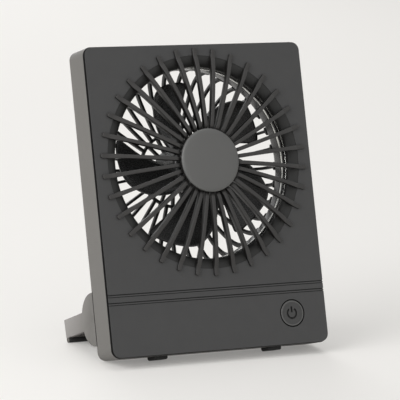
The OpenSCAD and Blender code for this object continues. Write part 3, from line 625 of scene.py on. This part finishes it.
cage_r = 59.4
cage_rise = 21
cage_back = case_d + cage_rise
cage_turn = 3.1               # degrees by which the cage's bars are turned from the fins
bar_count = 34
bar_t = 1.6
bar_depth = 2.8
bar_turns = (0, 4, 6, 7.5, 9, 11, 14, 18, 23, 28, 33, 38, 43, 48, 53, 58, 64, 70, 76, 80)
ring_h = 1.6                  # height of the base ring at the bars
root_flare = 1.6              # a bar's root widens by this much, as a fillet of the tool does


def cage_line(radius, rise, turn):
    """A point of the cage's back line, turn degrees from its rim to its middle."""
    x, y = math.cos(math.radians(turn)), math.sin(math.radians(turn))
    reach = (x ** 4 + y ** 4) ** -0.25
    return radius * reach * x, case_d + rise * reach * y


def bar_sections(inside):
    """Sections of a rear bar from the base ring to the radius at which it ends."""
    sections = []
    for turn in bar_turns:
        outer = cage_line(cage_r, cage_rise, turn)
        inner = cage_line(cage_r - bar_depth, cage_rise - bar_depth, turn)
        if outer[0] < inside + 1:
            break
        below_flare = max(0, root_flare - max(0, outer[1] - case_d - ring_h))
        flare = root_flare - math.sqrt(root_flare ** 2 - below_flare ** 2)
        sections.append(bar_section(bar_t / 2 + flare, outer, inner))
    sections.append(bar_section(bar_t / 2, (inside, cage_back), (inside, cage_back - bar_depth)))
    return sections


# Long bars reach the motor's cup, and short ones end at the inner ring.
long_bar = drawn(bar_sections(11.5))
short_bar = drawn(bar_sections(21.5))
for bar in (long_bar, short_bar):
    rounded(bar, 0.3, angle=50, segments=2)
for k in range(bar_count):
    bar = copied(short_bar if k % 2 else long_bar)
    seat(bar, f"cage_bar_{k + 1:02d}", "root", mouth_abs, ["rear_grille"],
         turn=cage_turn + 360 / bar_count * k)
bpy.data.objects.remove(long_bar)
bpy.data.objects.remove(short_bar)

base_ring = turned([(duct_outer_r, case_d), (61.4, case_d), (61.4, 22.1), (60.8, 22.7),
                    (58.4, 22.7)])
rounded(base_ring, 0.3, angle=40, segments=2)
seat(base_ring, "cage_base_ring", "root", mouth_abs, ["rear_grille"])
cup_floor_y = 38.7
inner_ring = turned([(20.7, cup_floor_y), (22.3, cup_floor_y), (22.3, 41.1), (20.7, 41.1)])
rounded(inner_ring, 0.3, segments=2)
seat(inner_ring, "cage_inner_ring", "root", mouth_abs, ["rear_grille"])
cup_in_r = 10.55
cup_r = 12.5
cup_mouth_y = 27.7
cup = turned([(cup_in_r, cup_mouth_y), (cup_r, cup_mouth_y), (cup_r, 40.9), (11.9, cage_back),
              (0, cage_back), (0, cup_floor_y), (cup_in_r, cup_floor_y)])
rounded(cup, 0.4, lambda p: p.y > 40, angle=30)
seat(cup, "cage_motor_cup", "root", mouth_abs, ["rear_grille"])

lug_reach = 63.5
lug_r = 3.6
lug_t = 2.2
for k, angle in enumerate((45, 135, 225, 315)):
    bpy.ops.mesh.primitive_cylinder_add(
        vertices=48, radius=lug_r * MM, depth=lug_t * MM, rotation=(math.pi / 2, 0, 0),
        location=metres(lug_reach, case_d + lug_t / 2, fan_z))
    lug = bpy.context.object
    only(lug)
    bpy.ops.object.transform_apply(location=True, rotation=True, scale=True)
    rounded(lug, 0.5, lambda p: p.y > case_d + lug_t - 0.5)
    seat(lug, f"cage_lug_{k + 1}", "root", mouth_abs, ["rear_grille"], turn=angle)

# ---------------------------------------------------------------- screws

def bars_of_crosses(centres, depth, length, upright):
    """One object with a thin bar across each screw head, to cut half of its cross recess."""
    width, height = 0.55, 1.8
    bars = []
    for x, z in centres:
        size = (width, height, length) if upright else (length, height, width)
        bpy.ops.mesh.primitive_cube_add(size=1, location=metres(x, depth, z),
                                        scale=metres(*size))
        bars.append(bpy.context.object)
    bpy.ops.object.select_all(action="DESELECT")
    for bar in bars:
        bar.select_set(True)
    bpy.context.view_layer.objects.active = bars[0]
    bpy.ops.object.join()
    return bars[0]


screw_x = 60.5
screw_high = 167.5
screw_low = 5.6
lug_step = lug_reach * math.sqrt(0.5)
motor_screw_x = 6.5
# Places of the heads, the depth of their tops and the length of the cross in them.
screw_heads = {
    "case_screws": ([(x, z) for z in (screw_high, screw_low) for x in (-screw_x, screw_x)],
                    19.7, 2.2),
    "grille_screws": ([(x * lug_step, fan_z + z * lug_step) for x in (-1, 1) for z in (-1, 1)],
                      24.1, 2.0),
    "motor_screws": ([(-motor_screw_x, fan_z), (motor_screw_x, fan_z)], 42.7, 1.8),
}
for screw_node, (centres, top, cross_length) in screw_heads.items():
    screws = from_node(screw_node)
    rounded(screws, 0.3, lambda p: p.y > top - 0.1, angle=40)
    for upright in (True, False):
        cutter = bars_of_crosses(centres, top + 0.2, cross_length, upright)
        applied(screws, "BOOLEAN", object=cutter, operation="DIFFERENCE", solver="EXACT")
        bpy.data.objects.remove(cutter)
    seat(screws, screw_node + "_finished", "root", screw_zinc, [screw_node])

# ---------------------------------------------------------------- impeller

hub_r = 16
hub_y = 6.4
hub_end = 21.4
blade_count = 5
blade_root_r = 14.8
blade_tip_r = 49.1
blade_t = 1.2
blade_y = hub_y + 0.4         # depth of a blade's front edge
blade_fall = 12.7             # how much deeper its rear edge lies
blade_bulge = 0.35            # how far the blade bulges to the rear between the two
tip_rounding = 1.5            # how much shorter the tip is at its two corners
# Angles are in degrees about the fan's axis.
blade_middle = 114            # middle of the blade at the hub, as modelled
blade_sweep = 30              # how far the middle has moved round at the tip
blade_half = 28               # half of the blade's width at the hub
blade_narrowing = 8.5         # how much less that half is at the tip
tip_narrowing = 3.5           # what the last part of the tip loses besides

bpy.ops.mesh.primitive_grid_add(x_subdivisions=16, y_subdivisions=14, size=2)
blade = bpy.context.object
for corner in blade.data.vertices:
    # across runs from -1 at the rear edge to 1 at the front, along from 0 at the root to 1
    across, along = corner.co.x, (corner.co.y + 1) / 2
    end_r = blade_tip_r - tip_rounding * abs(across) ** 8
    radius = blade_root_r + (end_r - blade_root_r) * along
    share = (radius - hub_r) / (blade_tip_r - hub_r)
    half = blade_half - blade_narrowing * share - tip_narrowing * max(0, share) ** 6
    angle = math.radians(blade_middle - blade_sweep * share + across * half)
    fall = (1 - across) / 2
    depth = blade_y + blade_fall * (fall + blade_bulge * fall * (1 - fall))
    corner.co = Vector((radius * math.cos(angle), depth, fan_z + radius * math.sin(angle))) * MM
applied(blade, "SOLIDIFY", thickness=blade_t * MM, offset=0, use_even_offset=True)
applied(blade, "SUBSURF", levels=1, render_levels=1)
edit(blade)
bpy.ops.mesh.normals_make_consistent(inside=False)
close_edit()
first_turn = 18               # degrees from the blade as modelled to the first one
for k in range(blade_count):
    seat(copied(blade), f"impeller_blade_{k + 1}", "rotor", impeller_pp,
         ["impeller"], turn=first_turn + 360 / blade_count * k, smooth=50)
bpy.data.objects.remove(blade)

shaft_hole_r = 1.55
hub = turned([(0, hub_y), (11, hub_y), (13.5, hub_y), (14.6, 6.7), (15.4, 7.4), (15.9, 8.4),
              (hub_r, 9.4), (hub_r, hub_end), (14.6, hub_end), (14.6, 8.9), (3.7, 8.9),
              (3.7, 20.4), (shaft_hole_r, 20.4), (shaft_hole_r, 8.9), (0, 8.9)])
seat(hub, "impeller_hub", "rotor", impeller_pp, ["impeller"])

# ---------------------------------------------------------------- button

sign_r = 2.9                  # radius of the power sign's arc
sign_w = 1.1                  # width and depth of the tools that cut the sign
sign_y = 0.62                 # depth of the middle of those tools
half_arc = 145                # degrees from the arc's lowest point to each of its ends
stroke_h = 3.4
stroke_z = button_z + 2.2

button = from_node("power_button")
rounded(button, 0.3, on_front)
# A shallow dish, and in it the engraved power sign: an arc, open at the top, and an upright.
# The dish's tool is a cone, 1 mm to each side of dish_y, that widens to the front.
dish_y = -0.4
bpy.ops.mesh.primitive_cone_add(vertices=96, radius1=5.7 * MM, radius2=8.7 * MM, depth=2 * MM,
                                rotation=(math.pi / 2, 0, 0),
                                location=metres(button_x, dish_y, button_z))
dish = bpy.context.object
bpy.ops.mesh.primitive_plane_add(size=sign_w * MM, rotation=(0, math.pi / 2, 0),
                                 location=metres(button_x, sign_y, button_z - sign_r))
arc = bpy.context.object
only(arc)
bpy.ops.object.transform_apply(location=True, rotation=True, scale=True)
edit(arc)
bpy.ops.mesh.spin(steps=48, angle=math.radians(-half_arc), axis=(0, 1, 0),
                  center=metres(button_x, 0, button_z))
close_edit()
other_half = copied(arc)
to_middle = Matrix.Translation((button_x * MM, 0, 0))
other_half.data.transform(to_middle @ Matrix.Scale(-1, 4, (1, 0, 0)) @ to_middle.inverted())
only(arc)
other_half.select_set(True)
bpy.ops.object.join()
edit(arc)
bpy.ops.mesh.remove_doubles(threshold=0.001 * MM)
bpy.ops.mesh.normals_make_consistent(inside=False)
close_edit()
bpy.ops.mesh.primitive_cube_add(size=1, location=metres(button_x, sign_y, stroke_z),
                                scale=metres(sign_w, sign_w, stroke_h))
upright_stroke = bpy.context.object
for tool in (dish, arc, upright_stroke):
    applied(button, "BOOLEAN", object=tool, operation="DIFFERENCE", solver="EXACT")
    bpy.data.objects.remove(tool)
# The sign's floor and the button's outer wall get painted shade, and the dish's rim a painted
# highlight.
recess(button, painted_shade_abs, lambda p, n: p.y > 0.63 or (p.y > 0.12 and to_button(p) > 7))
button.data.materials.append(rim_painted_highlight_abs)
for face in button.data.polygons:
    corners = [button.data.vertices[i].co / MM for i in face.vertices]
    if max(p.y for p in corners) < 0.25 and min(to_button(p) for p in corners) > 6.5:
        face.material_index = 2
seat(button, "power_button_finished", "button", button_abs, ["power_button"])
applied(button, "WEIGHTED_NORMAL", keep_sharp=True)

# ---------------------------------------------------------------- stand

stand = from_node("stand")
rounded(stand, 0.5, angle=40)
seat(stand, "stand_finished", "stand", stand_abs, ["stand"])
pad_skin = 0.4                # the outer layer of a pad, which has the arm's colour
for side in ("left", "right"):
    pad = from_node("stand_pad_" + side)
    rounded(pad, 0.3, segments=2)
    outer = max(abs(v.co.x) for v in pad.data.vertices) / MM
    recess(pad, foot_nbr, lambda p, n: abs(p.x) < outer - pad_skin)
    seat(pad, f"stand_pad_{side}_finished", "stand", pad_tpe, ["stand_pad_" + side])


# ---------------------------------------------------------------- stage and light

def area_light(name, place, aim, size, watts):
    """A square softbox at place, turned to aim, both in metres."""
    data = bpy.data.lights.new(name, "AREA")
    data.size = size
    data.energy = watts
    light = bpy.data.objects.new(name, data)
    bpy.context.collection.objects.link(light)
    light.location = place
    light.rotation_euler = (Vector(aim) - Vector(place)).to_track_quat("-Z", "Y").to_euler()


area_light("window_left", (-1.5, -0.25, 0.8), (0, 0, 0.09), 1.3, 23)
area_light("soft_front", (0.3, -1.6, 1.0), (0, 0, 0.09), 1.2, 1)
area_light("soft_top", (0.1, 0.3, 1.7), (0, 0, 0.1), 1.2, 6)
area_light("window_back", (0.4, 1.8, 1.1), (0, 0, 0.1), 1.0, 10)


def seen_rays(owner):
    """A socket that is 1 for the camera's rays and for glossy and transmitted ones, or 0."""
    rays = add(owner, "ShaderNodeLightPath").outputs
    passed_on = add(owner, "ShaderNodeMath",
                    {0: rays["Is Glossy Ray"], 1: rays["Is Transmission Ray"]},
                    operation="MAXIMUM")
    return add(owner, "ShaderNodeMath",
               {0: rays["Is Camera Ray"], 1: passed_on.outputs["Value"]},
               operation="MAXIMUM").outputs["Value"]


def backdrop_material(name, colour, glow_share):
    """Matte paper that the camera and glossy pieces see paler than it is lit, with shadows."""
    material = bpy.data.materials.new(name)
    material.use_nodes = True
    nodes = material.node_tree.nodes
    shader = nodes["Principled BSDF"]
    shader.inputs["Base Color"].default_value = linear(colour)
    shader.inputs["Roughness"].default_value = 0.9
    glow = add(material, "ShaderNodeEmission", {"Color": linear(colour), "Strength": 1.0})
    share = add(material, "ShaderNodeMath", {0: seen_rays(material), 1: glow_share},
                operation="MULTIPLY")
    mixed = add(material, "ShaderNodeMixShader",
                {"Fac": share.outputs["Value"], 1: shader.outputs["BSDF"],
                 2: glow.outputs["Emission"]})
    material.node_tree.links.new(mixed.outputs["Shader"],
                                 nodes["Material Output"].inputs["Surface"])
    return material


bpy.ops.mesh.primitive_plane_add(size=6, location=(0, 0, 0))
floor = bpy.context.object
floor.name = "floor"
dress(floor, backdrop_material("floor_paper", "f4f2ef", 0.25))

# The world lights the fan softly, and looks nearly white to the camera and in reflections.
world = bpy.data.worlds.new("studio")
bpy.context.scene.world = world
world.use_nodes = True
soft = world.node_tree.nodes["Background"]
soft.inputs["Color"].default_value = linear("f4f4f2")
soft.inputs["Strength"].default_value = 0.4
seen = add(world, "ShaderNodeBackground", {"Color": linear("fbfbfa"), "Strength": 0.9})
choose = add(world, "ShaderNodeMixShader",
             {"Fac": seen_rays(world), 1: soft.outputs["Background"],
              2: seen.outputs["Background"]})
world.node_tree.links.new(choose.outputs["Shader"],
                          world.node_tree.nodes["World Output"].inputs["Surface"])
